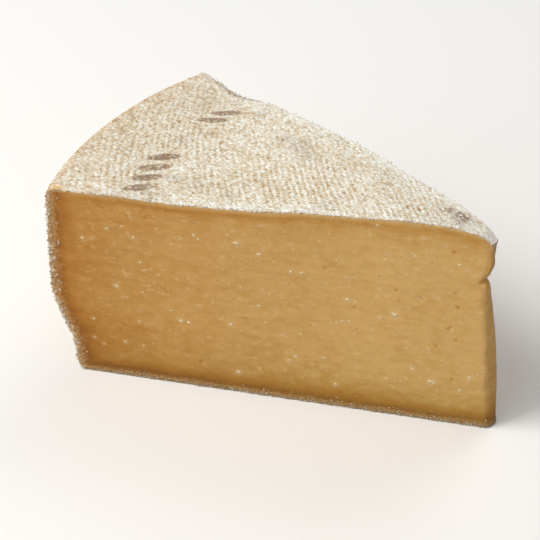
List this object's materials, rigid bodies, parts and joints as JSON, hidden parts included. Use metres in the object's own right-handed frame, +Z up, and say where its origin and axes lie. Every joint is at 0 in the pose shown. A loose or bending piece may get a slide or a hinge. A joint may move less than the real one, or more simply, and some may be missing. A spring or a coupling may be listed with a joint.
{
  "type": "aged hard cheese wedge",
  "caption": "Wedge cut from a wheel of aged hard cheese, with a pale cloth-pressed rind, a curved heel, a blunt tip and two flat cut faces of golden paste.",
  "frame": {"origin": "middle of the bottom of the bounding box, on the flat lower rind", "axes": "+X from the rind heel to the blunt tip, +Y from the front cut to the back cut, +Z up"},
  "size_m": [0.1702, 0.1052, 0.0901],
  "materials": {
    "paste": "smooth golden cut paste, faintly waxy, with pale crystals and pinholes",
    "rind": "dry, dusty, pale buff rind with a woven cloth imprint"
  },
  "bodies": {
    "root": {"cheese_wedge": "paste"}
  },
  "joints": []
}
